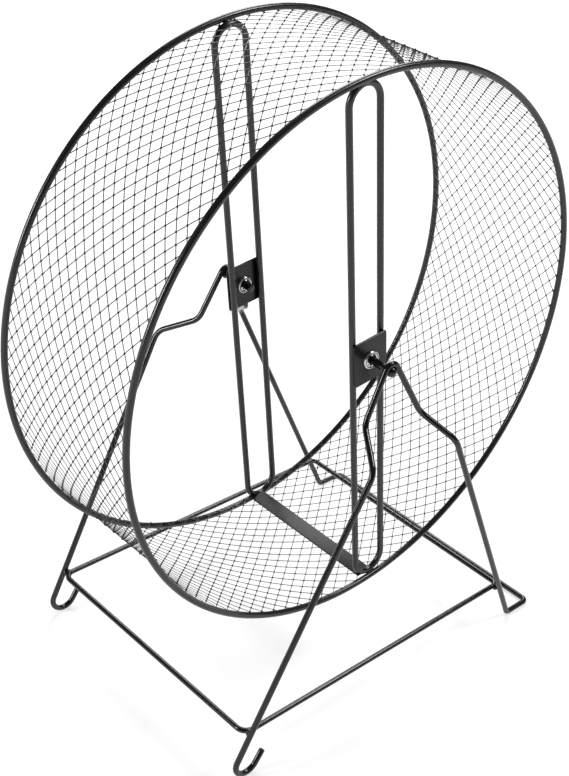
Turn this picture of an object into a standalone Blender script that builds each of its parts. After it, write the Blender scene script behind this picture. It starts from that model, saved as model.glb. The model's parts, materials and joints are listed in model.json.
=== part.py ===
"""A wire hamster wheel: a drum of metal mesh that spins on two stub axles in a stand of bent wire.

Units are metres and +Z is up. The origin is on the ground, below the middle of the axle line.
The axle line runs along Y: the drum's front face looks along -Y and its rear face along +Y.
The stand's two hooks are at -X and its ground rail is at +X.
"""

import math

import bmesh
import bpy
from mathutils import Vector

# Driving dimensions of the whole wheel
RIM_DIAMETER = 0.280
DRUM_WIDTH = 0.0922
AXLE_HEIGHT = 0.188
DRUM_TURN = math.radians(-6.9)

# Wire gauges
RIM_WIRE = 0.0033
SPOKE_WIRE = 0.0033
LEG_WIRE = 0.0031
FRAME_WIRE = 0.0029

# Gap left between neighbours that are welded or touch on the real wheel
SEAT_GAP = 0.0003

# Spoke loops: long closed loops of wire that cross each face of the drum
SPOKE_SPACING = 0.0181
SPOKE_INSET = 0.0021

# Mesh of the running surface: a net of diamonds, coarser than the real one
MESH_COLUMNS = 32
MESH_ROWS = 4
MESH_STRAND = 0.001

# Flat bar over the seam of the mesh, a little round from the spoke loops' ends
SEAM_BAR_WIDTH = 0.0090
SEAM_BAR_THICKNESS = 0.0008
SEAM_BAR_TURN = math.radians(1.8)

# Hub plates, on the outer side of the spoke loops
PLATE_HEIGHT = 0.0245
PLATE_THICKNESS = 0.001
PLATE_CORNER = 0.002

# Eyelets: the bushes that run on the stub axles
EYELET_BORE = 0.0056
EYELET_WALL = 0.0005
EYELET_FLANGE = 0.0095
EYELET_LIP = 0.0013

# Stub axles
AXLE_DIAMETER = 0.004
AXLE_INNER_END = 0.0399
AXLE_TAIL = 0.0026

# Legs: reaches from the axle line along X, drops below it, and distances out along Y
APEX_OUT = 0.0600
UPPER_BEND_LEFT_OUT = 0.0623
UPPER_BEND_LEFT_REACH = 0.0163
UPPER_BEND_LEFT_DROP = 0.0224
UPPER_BEND_RIGHT_OUT = 0.0652
UPPER_BEND_RIGHT_REACH = 0.0184
UPPER_BEND_RIGHT_DROP = 0.0267
LOWER_BEND_OUT = 0.0822
LOWER_BEND_LEFT_REACH = 0.0280
LOWER_BEND_LEFT_DROP = 0.0345
LOWER_BEND_RIGHT_REACH = 0.0283
LOWER_BEND_RIGHT_DROP = 0.0385
LEG_LEFT_REACH = 0.0936
LEG_RIGHT_REACH = 0.0870
LEG_BEND = 0.009

# Feet and ground rail on the right: the wire runs on past each end of the rail, up to the foot
FOOT_BEND = 0.003
RAIL_REACH = 0.1155
RAIL_CORNER = 0.0028
RAIL_LENGTH = 0.140
RAIL_END_RUN = 0.0095
FOOT_OUT = RAIL_LENGTH / 2 + RAIL_END_RUN

# Hooks at the ends of the left legs, a little further in than the feet
HOOK_INSET = 0.0005
HOOK_OUT = FOOT_OUT - HOOK_INSET
HOOK_BEND = 0.0068
HOOK_HEADING = math.radians(56)
HOOK_TAIL = 0.0075

# Base frame, welded inside the legs: the legs' reaches above are at its height
FRAME_HEIGHT = 0.0257
FRAME_LEFT_REACH = 0.0951
FRAME_RIGHT_REACH = 0.0884
FRAME_CORNER = 0.0042

# How finely round shapes are divided
RIM_SEGMENTS = 2 * MESH_COLUMNS
WIRE_SIDES = 8
WIRE_RESOLUTION = 2
RAIL_SIDES = 12
EYELET_SEGMENTS = 24
AXLE_SEGMENTS = 16
DOME_STEPS = 4
BEND_STEPS = 3
APEX_STEPS = 6
HOOK_STEPS = 8
LOOP_STEPS = 10
CORNER_STEPS = 4
MERGE_DISTANCE = 0.00001
SHARP_ANGLE = math.radians(40)

# Sizes worked out from the ones above
RIM_RADIUS = RIM_DIAMETER / 2
HALF_WIDTH = DRUM_WIDTH / 2
RIM_INNER = RIM_RADIUS - RIM_WIRE / 2
MESH_RADIUS = RIM_INNER - SEAT_GAP - MESH_STRAND / 2
MESH_HALF_WIDTH = HALF_WIDTH - SEAT_GAP
STEP_ANGLE = 2 * math.pi / RIM_SEGMENTS
MESH_FLAT = MESH_RADIUS * math.cos(STEP_ANGLE / 2) - MESH_STRAND / 2
SPOKE_OUT = HALF_WIDTH - SPOKE_INSET
RIM_FLAT = RIM_RADIUS * math.cos(STEP_ANGLE / 2)
RIM_TO_SPOKE = RIM_WIRE / 2 + SPOKE_WIRE / 2 + SEAT_GAP
SPOKE_END = RIM_FLAT - math.sqrt(RIM_TO_SPOKE**2 - SPOKE_INSET**2)
PLATE_INNER_FACE = SPOKE_OUT + SPOKE_WIRE / 2 + SEAT_GAP
PLATE_OUTER_FACE = PLATE_INNER_FACE + PLATE_THICKNESS
EYELET_BARREL = EYELET_BORE + 2 * EYELET_WALL
AXLE_OUTER_END = APEX_OUT + AXLE_TAIL
LEG_RADIUS = LEG_WIRE / 2
FOOT_HEIGHT = LEG_RADIUS

FRONT = -1
REAR = 1


def clear_scene():
    """Remove every object that the scene holds."""
    for found in list(bpy.data.objects):
        bpy.data.objects.remove(found, do_unlink=True)


def new_collection(name):
    """Add a collection to the scene."""
    collection = bpy.data.collections.new(name)
    bpy.context.scene.collection.children.link(collection)
    return collection


def new_material(name, colour, roughness, metallic):
    """Make a Principled material of one colour."""
    material = bpy.data.materials.new(name)
    material.use_nodes = True
    shader = material.node_tree.nodes["Principled BSDF"]
    shader.inputs["Base Color"].default_value = (*colour, 1)
    shader.inputs["Roughness"].default_value = roughness
    shader.inputs["Metallic"].default_value = metallic
    return material


def coat(name, roughness=0.35):
    """The black coating of a steel piece."""
    return new_material(name, (0.03, 0.03, 0.032), roughness, 0.0)


def place(obj, collection, parent, material):
    """Put an object in the model's collection, under its parent, with its material."""
    for holder in list(obj.users_collection):
        holder.objects.unlink(obj)
    collection.objects.link(obj)
    obj.parent = parent
    obj.data.materials.clear()
    obj.data.materials.append(material)
    return obj


def smooth(mesh):
    """Shade a mesh smooth, apart from its sharp edges."""
    mesh.shade_smooth()
    mesh.set_sharp_from_angle(angle=SHARP_ANGLE)


def arc(centre, radius, start, end, steps):
    """Points of an arc in the XZ plane, whose angles are measured from +X towards +Z."""
    angles = [start + (end - start) * step / steps for step in range(steps + 1)]
    return [centre + radius * Vector((math.cos(angle), 0, math.sin(angle))) for angle in angles]


def bend(before, corner, after, radius, steps):
    """Points of a wire's bend, from the straight run before a corner to the run after it."""
    back = (before - corner).normalized()
    ahead = (after - corner).normalized()
    half = back.angle(ahead) / 2
    setback = radius / math.tan(half)
    centre = corner + (back + ahead).normalized() * (radius / math.sin(half))
    first = corner + back * setback - centre
    last = corner + ahead * setback - centre
    turn = first.angle(last)
    points = []
    for step in range(steps + 1):
        share = step / steps
        mix = first * math.sin((1 - share) * turn) + last * math.sin(share * turn)
        points.append(centre + mix / math.sin(turn))
    return points


def add_wire(name, points, diameter, closed=False):
    """A wire along a list of points, with filled ends unless it closes on itself."""
    curve = bpy.data.curves.new(name, "CURVE")
    curve.dimensions = "3D"
    curve.bevel_depth = diameter / 2
    curve.bevel_resolution = WIRE_RESOLUTION
    curve.use_fill_caps = True
    spline = curve.splines.new("POLY")
    spline.points.add(len(points) - 1)
    for control, point in zip(spline.points, points):
        control.co = (*point, 1)
    spline.use_cyclic_u = closed
    return bpy.data.objects.new(name, curve)


def add_turned(name, profile, segments, closed=False):
    """A turned piece on its own Z axis, from a profile of (radius, height) that runs down its outer side."""
    mesh = bpy.data.meshes.new(name)
    edges = [(index, index + 1) for index in range(len(profile) - 1)]
    if closed:
        edges.append((len(profile) - 1, 0))
    mesh.from_pydata([(radius, 0, height) for radius, height in profile], edges, [])
    obj = bpy.data.objects.new(name, mesh)
    screw = obj.modifiers.new("turn", "SCREW")
    screw.axis = "Z"
    screw.steps = segments
    screw.render_steps = segments
    screw.use_merge_vertices = True
    screw.merge_threshold = MERGE_DISTANCE
    screw.use_smooth_shade = True
    return obj


def add_rim(name, side):
    """One of the two hoops at the ends of the drum."""
    bpy.ops.mesh.primitive_torus_add(
        major_radius=RIM_RADIUS,
        minor_radius=RIM_WIRE / 2,
        major_segments=RIM_SEGMENTS,
        minor_segments=WIRE_SIDES,
        location=(0, side * HALF_WIDTH, 0),
        rotation=(math.pi / 2, 0, 0),
    )
    rim = bpy.context.object
    rim.name = name
    rim.data.name = name
    smooth(rim.data)
    return rim


def add_spoke_loop(name, side):
    """A long loop of wire with round ends, from the top of the drum's face to its bottom."""
    half = SPOKE_SPACING / 2
    centre = Vector((0, side * SPOKE_OUT, SPOKE_END - half))
    top = arc(centre, half, 0, math.pi, LOOP_STEPS)
    centre.z = -centre.z
    bottom = arc(centre, half, math.pi, 2 * math.pi, LOOP_STEPS)
    return add_wire(name, top + bottom, SPOKE_WIRE, closed=True)


def rounded_rectangle(width, height, radius, steps):
    """Points of a rectangle with rounded corners, centred on zero, as (across, up)."""
    points = []
    for quarter, (across, up) in enumerate(((1, 1), (-1, 1), (-1, -1), (1, -1))):
        centre = Vector((across * (width / 2 - radius), 0, up * (height / 2 - radius)))
        start = quarter * math.pi / 2
        points += arc(centre, radius, start, start + math.pi / 2, steps)
    return [(point.x, point.z) for point in points]


def add_plate(name, outlines, thickness):
    """A flat piece cut to its outlines, upright in the XZ plane, from y = 0 to both sides."""
    curve = bpy.data.curves.new(name, "CURVE")
    curve.dimensions = "2D"
    curve.fill_mode = "BOTH"
    curve.extrude = thickness / 2
    for outline in outlines:
        spline = curve.splines.new("POLY")
        spline.points.add(len(outline) - 1)
        for control, (across, up) in zip(spline.points, outline):
            control.co = (across, up, 0, 1)
        spline.use_cyclic_u = True
    obj = bpy.data.objects.new(name, curve)
    obj.rotation_euler = (math.pi / 2, 0, 0)
    return obj


def add_hub_plate(name, side):
    """The plate that joins a loop's two wires and holds the eyelet."""
    outline = rounded_rectangle(SPOKE_SPACING + SPOKE_WIRE, PLATE_HEIGHT, PLATE_CORNER, CORNER_STEPS)
    hole_radius = EYELET_BARREL / 2 + SEAT_GAP
    full = arc(Vector((0, 0, 0)), hole_radius, 0, 2 * math.pi, EYELET_SEGMENTS)
    hole = [(point.x, point.z) for point in full[:-1]]
    plate = add_plate(name, [outline, hole], PLATE_THICKNESS)
    plate.location.y = side * (PLATE_INNER_FACE + PLATE_THICKNESS / 2)
    return plate


def add_eyelet(name, side):
    """A tubular eyelet set through the hub plate, with a rolled lip on each side of it."""
    bore = EYELET_BORE / 2
    barrel = EYELET_BARREL / 2
    flange = EYELET_FLANGE / 2
    edge = EYELET_LIP / 2
    outer = PLATE_OUTER_FACE + SEAT_GAP
    inner = PLATE_INNER_FACE - SEAT_GAP
    top = outer + EYELET_LIP
    bottom = inner - EYELET_LIP
    profile = [
        (flange - edge, top),
        (flange, top - edge),
        (flange - edge / 2, outer),
        (barrel, outer),
        (barrel, inner),
        (flange - edge / 2, inner),
        (flange, bottom + edge),
        (flange - edge, bottom),
        (barrel, bottom),
        (bore, bottom + edge),
        (bore, top - edge),
        (barrel, top),
    ]
    eyelet = add_turned(name, profile, EYELET_SEGMENTS, closed=True)
    eyelet.rotation_euler = (-side * math.pi / 2, 0, 0)
    return eyelet


def add_mesh_band(name):
    """The running surface: a net of diamonds bent round the drum, its tips seated inside the rims.

    The spoke loops' ends lie in gaps between the tips.
    """
    cage = bmesh.new()
    last_row = 2 * MESH_ROWS
    rows = []
    for row in range(last_row + 1):
        height = MESH_HALF_WIDTH * (2 * row / last_row - 1)
        angles = [(2 * column + 1 + row % 2) * STEP_ANGLE for column in range(MESH_COLUMNS)]
        places = [(MESH_RADIUS * math.cos(turn), height, MESH_RADIUS * math.sin(turn)) for turn in angles]
        rows.append([cage.verts.new(point) for point in places])
    for row in range(1, last_row):
        for column in range(MESH_COLUMNS):
            ahead = (column + 1 - row % 2) % MESH_COLUMNS
            behind = column - row % 2
            below = rows[row - 1][column]
            above = rows[row + 1][column]
            cage.faces.new((below, rows[row][ahead], above, rows[row][behind]))
    bmesh.ops.recalc_face_normals(cage, faces=cage.faces)
    mesh = bpy.data.meshes.new(name)
    cage.to_mesh(mesh)
    cage.free()
    band = bpy.data.objects.new(name, mesh)
    strands = band.modifiers.new("strands", "WIREFRAME")
    strands.thickness = MESH_STRAND
    strands.use_replace = True
    strands.use_boundary = True
    strands.use_even_offset = True
    return band


def add_seam_bar(name):
    """The flat bar that covers the seam of the mesh at the bottom of the drum."""
    half_length = SPOKE_OUT - SPOKE_WIRE / 2 - SEAT_GAP
    depth = MESH_FLAT - SEAT_GAP - SEAM_BAR_THICKNESS / 2
    place_x = -depth * math.sin(SEAM_BAR_TURN)
    place_z = -depth * math.cos(SEAM_BAR_TURN)
    bpy.ops.mesh.primitive_cube_add(size=1, location=(place_x, 0, place_z))
    bar = bpy.context.object
    bar.name = name
    bar.data.name = name
    bar.scale = (SEAM_BAR_WIDTH, 2 * half_length, SEAM_BAR_THICKNESS)
    bpy.ops.object.transform_apply(location=False, rotation=False, scale=True)
    bar.rotation_euler = (0, SEAM_BAR_TURN, 0)
    return bar


def add_axle(name, side):
    """A stub axle with domed ends, welded under the top of the legs."""
    radius = AXLE_DIAMETER / 2
    profile = []
    for step in range(DOME_STEPS + 1):
        turn = step * math.pi / 2 / DOME_STEPS
        profile.append((radius * math.sin(turn), AXLE_OUTER_END - radius * (1 - math.cos(turn))))
    for step in range(DOME_STEPS, -1, -1):
        turn = step * math.pi / 2 / DOME_STEPS
        profile.append((radius * math.sin(turn), AXLE_INNER_END + radius * (1 - math.cos(turn))))
    axle = add_turned(name, profile, AXLE_SEGMENTS)
    axle.rotation_euler = (-side * math.pi / 2, 0, 0)
    axle.location = (0, 0, AXLE_HEIGHT)
    return axle


def apex_corner(radius):
    """Where the two upper runs would meet, as (x, z) from the axle line, if each just clears a circle on it."""
    def normal_angle(reach, drop):
        return math.pi / 2 - math.atan2(reach, drop) + math.asin(radius / math.hypot(reach, drop))

    left = normal_angle(UPPER_BEND_LEFT_REACH, UPPER_BEND_LEFT_DROP)
    right = normal_angle(UPPER_BEND_RIGHT_REACH, UPPER_BEND_RIGHT_DROP)
    distance = radius / math.cos((left + right) / 2)
    lean = (right - left) / 2
    return distance * math.sin(lean), distance * math.cos(lean)


def bend_place(reach, out, drop):
    """Where a leg bends, from its reach and way out from the axle line and its drop below it."""
    return Vector((reach, out, AXLE_HEIGHT - drop))


def hook_points(upper, crossing, out):
    """Points of a hook, from its tail to where it joins the leg that comes down from upper through crossing."""
    down = Vector((crossing.x - upper.x, 0, crossing.z - upper.z)).normalized()
    inward = Vector((-down.z, 0, down.x))
    centre_height = FOOT_HEIGHT + HOOK_BEND
    touch_height = centre_height - inward.z * HOOK_BEND
    along = (touch_height - crossing.z) / down.z
    touch = Vector((crossing.x + along * down.x, out, touch_height))
    centre = touch + inward * HOOK_BEND
    start = math.atan2(-inward.z, -inward.x)
    end = 3 * math.pi / 2 + HOOK_HEADING
    turn = arc(centre, HOOK_BEND, start, end, HOOK_STEPS)
    tail = turn[-1] + HOOK_TAIL * Vector((math.cos(HOOK_HEADING), 0, math.sin(HOOK_HEADING)))
    return [tail] + turn[::-1]


def add_leg_wire(name, side):
    """One side of the stand: hook, left leg, the bend over the axle, right leg and foot, in one wire."""
    apex_radius = AXLE_DIAMETER / 2 + SEAT_GAP + LEG_RADIUS
    apex_x, apex_z = apex_corner(apex_radius)
    apex = Vector((apex_x, side * APEX_OUT, AXLE_HEIGHT + apex_z))
    upper_left = bend_place(-UPPER_BEND_LEFT_REACH, side * UPPER_BEND_LEFT_OUT, UPPER_BEND_LEFT_DROP)
    upper_right = bend_place(UPPER_BEND_RIGHT_REACH, side * UPPER_BEND_RIGHT_OUT, UPPER_BEND_RIGHT_DROP)
    lower_left = bend_place(-LOWER_BEND_LEFT_REACH, side * LOWER_BEND_OUT, LOWER_BEND_LEFT_DROP)
    lower_right = bend_place(LOWER_BEND_RIGHT_REACH, side * LOWER_BEND_OUT, LOWER_BEND_RIGHT_DROP)
    crossing_left = Vector((-LEG_LEFT_REACH, 0, FRAME_HEIGHT))
    crossing_right = Vector((LEG_RIGHT_REACH, 0, FRAME_HEIGHT))

    hook = hook_points(lower_left, crossing_left, side * HOOK_OUT)
    slope = (crossing_right.x - lower_right.x) / (lower_right.z - crossing_right.z)
    foot_x = crossing_right.x + slope * (FRAME_HEIGHT - FOOT_HEIGHT)
    foot = Vector((foot_x, side * FOOT_OUT, FOOT_HEIGHT))
    corner = Vector((RAIL_REACH, side * FOOT_OUT, FOOT_HEIGHT))
    end = Vector((RAIL_REACH, side * (RAIL_LENGTH / 2 + SEAT_GAP), FOOT_HEIGHT))

    points = list(hook)
    points += bend(hook[-1], lower_left, upper_left, LEG_BEND, BEND_STEPS)
    points += bend(lower_left, upper_left, apex, LEG_BEND, BEND_STEPS)
    points += bend(upper_left, apex, upper_right, apex_radius, APEX_STEPS)
    points += bend(apex, upper_right, lower_right, LEG_BEND, BEND_STEPS)
    points += bend(upper_right, lower_right, foot, LEG_BEND, BEND_STEPS)
    points += bend(lower_right, foot, corner, FOOT_BEND, BEND_STEPS)
    points += bend(foot, corner, end, RAIL_CORNER, BEND_STEPS)
    points.append(end)
    return add_wire(name, points, LEG_WIRE)


def add_ground_rail(name):
    """The straight run on the ground that joins the two feet, with a flat of its sides facing down."""
    flat = LEG_RADIUS * math.cos(math.pi / RAIL_SIDES)
    bpy.ops.mesh.primitive_cylinder_add(
        vertices=RAIL_SIDES,
        radius=LEG_RADIUS,
        depth=RAIL_LENGTH,
        location=(RAIL_REACH, 0, flat),
        rotation=(math.pi / 2, math.pi / RAIL_SIDES, 0),
    )
    rail = bpy.context.object
    rail.name = name
    rail.data.name = name
    smooth(rail.data)
    return rail


def left_leg_out(height):
    """How far out along Y the left legs' straight runs are at a height."""
    top = AXLE_HEIGHT - LOWER_BEND_LEFT_DROP
    bottom = FOOT_HEIGHT + HOOK_BEND
    return HOOK_OUT + (LOWER_BEND_OUT - HOOK_OUT) * (height - bottom) / (top - bottom)


def add_base_frame(name):
    """The closed rectangle of wire that ties the four legs together, its corners just inside the left ones."""
    round_corner = min(max(LEG_LEFT_REACH - FRAME_LEFT_REACH + FRAME_CORNER, 0), FRAME_CORNER)
    apart = FRAME_CORNER + FRAME_WIRE / 2 + SEAT_GAP + LEG_RADIUS
    inset = math.sqrt(apart**2 - round_corner**2) - FRAME_CORNER
    half_depth = left_leg_out(FRAME_HEIGHT) - inset
    width = FRAME_LEFT_REACH + FRAME_RIGHT_REACH
    middle = (FRAME_RIGHT_REACH - FRAME_LEFT_REACH) / 2
    outline = rounded_rectangle(width, 2 * half_depth, FRAME_CORNER, CORNER_STEPS)
    points = [Vector((middle + across, up, FRAME_HEIGHT)) for across, up in outline]
    return add_wire(name, points, FRAME_WIRE, closed=True)


def main():
    """Build the stand and the drum."""
    clear_scene()
    collection = new_collection("hamster_wheel")

    stand = bpy.data.objects.new("stand", None)
    drum = bpy.data.objects.new("drum", None)
    drum.location = (0, 0, AXLE_HEIGHT)
    drum.rotation_euler = (0, DRUM_TURN, 0)
    collection.objects.link(stand)
    collection.objects.link(drum)

    for word, side in (("front", FRONT), ("rear", REAR)):
        leg = add_leg_wire(f"{word}_leg_wire", side)
        place(leg, collection, stand, coat(f"{word}_leg_coat"))
        axle = add_axle(f"{word}_stub_axle", side)
        place(axle, collection, stand, coat(f"{word}_axle_coat"))
        rim = add_rim(f"{word}_rim", side)
        place(rim, collection, drum, coat(f"{word}_rim_coat"))
        loop = add_spoke_loop(f"{word}_spoke_loop", side)
        place(loop, collection, drum, coat(f"{word}_spoke_coat"))
        plate = add_hub_plate(f"{word}_hub_plate", side)
        place(plate, collection, drum, coat(f"{word}_plate_coat", roughness=0.5))
        eyelet = add_eyelet(f"{word}_eyelet", side)
        nickel = new_material(f"{word}_eyelet_nickel", (0.75, 0.75, 0.76), 0.22, 1.0)
        place(eyelet, collection, drum, nickel)

    place(add_ground_rail("ground_rail"), collection, stand, coat("rail_coat"))
    place(add_base_frame("base_frame"), collection, stand, coat("frame_coat"))
    place(add_mesh_band("mesh_band"), collection, drum, coat("mesh_coat"))
    place(add_seam_bar("seam_bar"), collection, drum, coat("seam_bar_coat", roughness=0.5))


main()
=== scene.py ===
"""The dressed model of a wire hamster wheel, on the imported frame.

Lengths are metres, and +Z is up. The axle line runs along Y at the height of the record's joint.
"""

import json
import logging
import math
import random
from dataclasses import dataclass, field, replace
from enum import Enum

import bpy
from mathutils import Matrix, Vector


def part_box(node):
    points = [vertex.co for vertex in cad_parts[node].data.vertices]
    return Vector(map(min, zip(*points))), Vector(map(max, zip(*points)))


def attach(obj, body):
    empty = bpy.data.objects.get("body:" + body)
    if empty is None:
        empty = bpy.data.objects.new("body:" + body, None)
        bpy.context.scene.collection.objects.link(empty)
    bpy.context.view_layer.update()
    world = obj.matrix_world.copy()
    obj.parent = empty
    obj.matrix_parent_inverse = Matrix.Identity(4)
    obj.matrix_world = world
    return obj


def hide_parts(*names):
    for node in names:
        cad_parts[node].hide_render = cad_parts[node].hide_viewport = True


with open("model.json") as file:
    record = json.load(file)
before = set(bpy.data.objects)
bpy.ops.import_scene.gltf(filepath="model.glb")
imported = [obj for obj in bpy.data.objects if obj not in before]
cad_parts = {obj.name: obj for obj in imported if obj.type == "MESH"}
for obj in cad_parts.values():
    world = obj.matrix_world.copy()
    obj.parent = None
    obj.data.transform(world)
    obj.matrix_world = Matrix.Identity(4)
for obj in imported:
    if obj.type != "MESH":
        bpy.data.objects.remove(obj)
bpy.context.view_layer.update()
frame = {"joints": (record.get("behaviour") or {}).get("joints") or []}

logging.basicConfig(level=logging.INFO, format="%(message)s")
LOG = logging.getLogger("hamster_wheel")

Points = list[Vector]
Pair = tuple[float, float]
Triple = tuple[float, float, float]
Socket = bpy.types.NodeSocket
Inputs = dict[str | int, object]

AXLE_LINE = Vector(frame["joints"][0]["pos_m"])

# How a wire narrows at a cut end: the depth in radii, and each ring's share of the radius and of that depth
CUT_DEPTH = 0.3
CUT_RINGS = ((0.7, 1.0), (0.91, 0.6))

# The width of a hexagon over its flats, where its corners lie 1 from its middle
HEXAGON_WIDTH = 1.73

# The sockets of a colour mix go by number, because its other kinds have sockets of the same names
MIX_FIRST, MIX_SECOND, MIX_RESULT = 6, 7, 2


class Side(Enum):
    """The two faces of the drum, as signs along Y."""

    FRONT = -1
    REAR = 1

    @property
    def word(self) -> str:
        """The side's name in a piece's name."""
        return self.name.lower()


class Body(Enum):
    """What a piece moves with."""

    STAND = "stand"
    WHEEL = "wheel"


class Slot(Enum):
    """The record's material slots."""

    WIRE = "coated_wire"
    SHEET = "coated_sheet"
    MESH = "coated_mesh"
    NICKEL = "bright_nickel"


def arc(centre: Vector, radius: float, start: float, end: float, steps: int) -> Points:
    """Points of an arc in the XZ plane, one more than its steps, with angles from +X towards +Z."""
    angles = [start + (end - start) * step / steps for step in range(steps + 1)]
    return [centre + radius * Vector((math.cos(a), 0, math.sin(a))) for a in angles]


def bend(before: Vector, corner: Vector, after: Vector, radius: float, steps: int = 14) -> Points:
    """Points of a wire's bend round a corner.

    Args:
        before: a point on the straight run that comes in.
        corner: where the two runs would meet.
        after: a point on the run that goes out.
        radius: the bend's radius on the wire's middle line.
        steps: how many chords it has.

    Returns:
        The points, one more than the chords.
    """
    back = (before - corner).normalized()
    ahead = (after - corner).normalized()
    half = back.angle(ahead) / 2
    centre = corner + (back + ahead).normalized() * (radius / math.sin(half))
    first = corner + back * (radius / math.tan(half)) - centre
    last = corner + ahead * (radius / math.tan(half)) - centre
    turn = first.angle(last)
    shares = [step / steps for step in range(steps + 1)]
    return [
        centre + (first * math.sin((1 - s) * turn) + last * math.sin(s * turn)) / math.sin(turn)
        for s in shares
    ]


def rounded_rectangle(width: float, height: float, radii: tuple[float, ...], steps: int) -> Points:
    """Points of a rounded rectangle in the XZ plane, centred on zero.

    Args:
        width: its size along X.
        height: its size along Z.
        radii: the radii of its corners, from the one at +X +Z, anticlockwise.
        steps: how many chords each corner has.

    Returns:
        The points, anticlockwise.
    """
    points: Points = []
    for quarter, (across, up) in enumerate(((1, 1), (-1, 1), (-1, -1), (1, -1))):
        radius = radii[quarter]
        centre = Vector((across * (width / 2 - radius), 0, up * (height / 2 - radius)))
        points += arc(centre, radius, quarter * math.pi / 2, (quarter + 1) * math.pi / 2, steps)
    return points


def direction(azimuth: float, elevation: float) -> Vector:
    """The way from the wheel, by an azimuth from its front towards +X and an elevation from level."""
    level = math.cos(elevation)
    return Vector((math.sin(azimuth) * level, -math.cos(azimuth) * level, math.sin(elevation)))


def new_object(name: str, data: bpy.types.ID) -> bpy.types.Object:
    """Make an object and link it to the scene.

    Args:
        name: its name.
        data: its mesh, lamp or camera.

    Returns:
        The new object.
    """
    made = bpy.data.objects.new(name, data)
    bpy.context.scene.collection.objects.link(made)
    return made


class Shape:
    """The corners and faces of a piece, as they are gathered."""

    def __init__(self) -> None:
        """Start with nothing."""
        self.corners: Points = []
        self.faces: list[tuple[int, ...]] = []

    def ring(self, points: Points) -> list[int]:
        """Add a ring of corners.

        Args:
            points: where they are.

        Returns:
            Their numbers.
        """
        first = len(self.corners)
        self.corners += points
        return list(range(first, first + len(points)))

    def bridge(self, low: list[int], high: list[int]) -> None:
        """Join two closed rings with faces.

        Args:
            low: the corners of the first ring.
            high: as many corners of the second one.
        """
        for index in range(len(low)):
            after = (index + 1) % len(low)
            self.faces.append((low[index], low[after], high[after], high[index]))

    def skin(self, rings: list[list[int]], closed: bool) -> None:
        """Join rings in order with faces.

        Args:
            rings: the rings.
            closed: whether the last one joins the first.
        """
        for low, high in zip(rings, rings[1:]):
            self.bridge(low, high)
        if closed:
            self.bridge(rings[-1], rings[0])

    def cap(self, first: list[int], last: list[int]) -> None:
        """Close the two ends of a skin."""
        self.faces.append(tuple(reversed(first)))
        self.faces.append(tuple(last))

    def wire(self, path: Points, diameter: float, sides: int = 16, closed: bool = False) -> None:
        """Add a round wire whose cut ends are slightly rounded.

        Args:
            path: the points of its middle line.
            diameter: its thickness.
            sides: how many sides it has.
            closed: whether it is a loop.
        """
        count = len(path)
        tangents = []
        for index in range(count):
            low = path[index - 1] if closed or index else path[0]
            high = path[(index + 1) % count] if closed or index < count - 1 else path[-1]
            tangents.append((high - low).normalized())
        across = tangents[0].orthogonal().normalized()
        guides = [across]
        for before, after in zip(tangents, tangents[1:]):
            across = before.rotation_difference(after) @ across
            guides.append(across)
        slip = 0.0
        if closed:
            home = tangents[-1].rotation_difference(tangents[0]) @ across
            slip = math.atan2(tangents[0].dot(home.cross(guides[0])), home.dot(guides[0]))
        radius = diameter / 2

        def section(index: int, scale: float, shift: float) -> list[int]:
            """Add the ring of sides at a point of the path.

            Args:
                index: the point's number.
                scale: the ring's share of the wire's radius.
                shift: how far past the point it lies.

            Returns:
                The numbers of its corners.
            """
            centre = path[index] + tangents[index] * shift
            side = guides[index]
            other = tangents[index].cross(side)
            start = slip * index / count
            turns = [start + 2 * math.pi * step / sides for step in range(sides)]
            ways = [side * math.cos(turn) + other * math.sin(turn) for turn in turns]
            return self.ring([centre + way * radius * scale for way in ways])

        rings = [section(index, 1.0, 0.0) for index in range(count)]
        if closed:
            self.skin(rings, closed=True)
            return
        depth = CUT_DEPTH * radius
        first = [section(0, scale, -share * depth) for scale, share in CUT_RINGS]
        last = [section(count - 1, scale, share * depth) for scale, share in CUT_RINGS[::-1]]
        self.skin(first + rings + last, closed=False)
        self.cap(first[0], last[-1])

    def turned(self, profile: list[Pair], side: Side, segments: int = 64) -> None:
        """Add a piece turned on the axle line.

        Args:
            profile: (radius, distance out along Y), with a radius of zero at a point on the axis.
            side: which way out is.
            segments: how many segments it has.
        """
        turns = [2 * math.pi * step / segments for step in range(segments)]
        ways = [Vector((math.cos(turn), 0, math.sin(turn))) for turn in turns]
        rings = []
        for radius, out in profile:
            centre = AXLE_LINE + Vector((0, side.value * out, 0))
            rings.append(self.ring([centre + radius * way for way in ways]))
        self.skin(rings, closed=False)

    def finish(self, name: str, sharp: float = 40.0) -> bpy.types.Object:
        """Make the object, shaded smooth apart from its sharp edges.

        Args:
            name: its name.
            sharp: the angle in degrees from which an edge is sharp.

        Returns:
            The new object, linked to the scene.
        """
        mesh = bpy.data.meshes.new(name)
        mesh.from_pydata(self.corners, [], self.faces)
        mesh.validate()
        mesh.shade_smooth()
        mesh.set_sharp_from_angle(angle=math.radians(sharp))
        return new_object(name, mesh)


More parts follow.
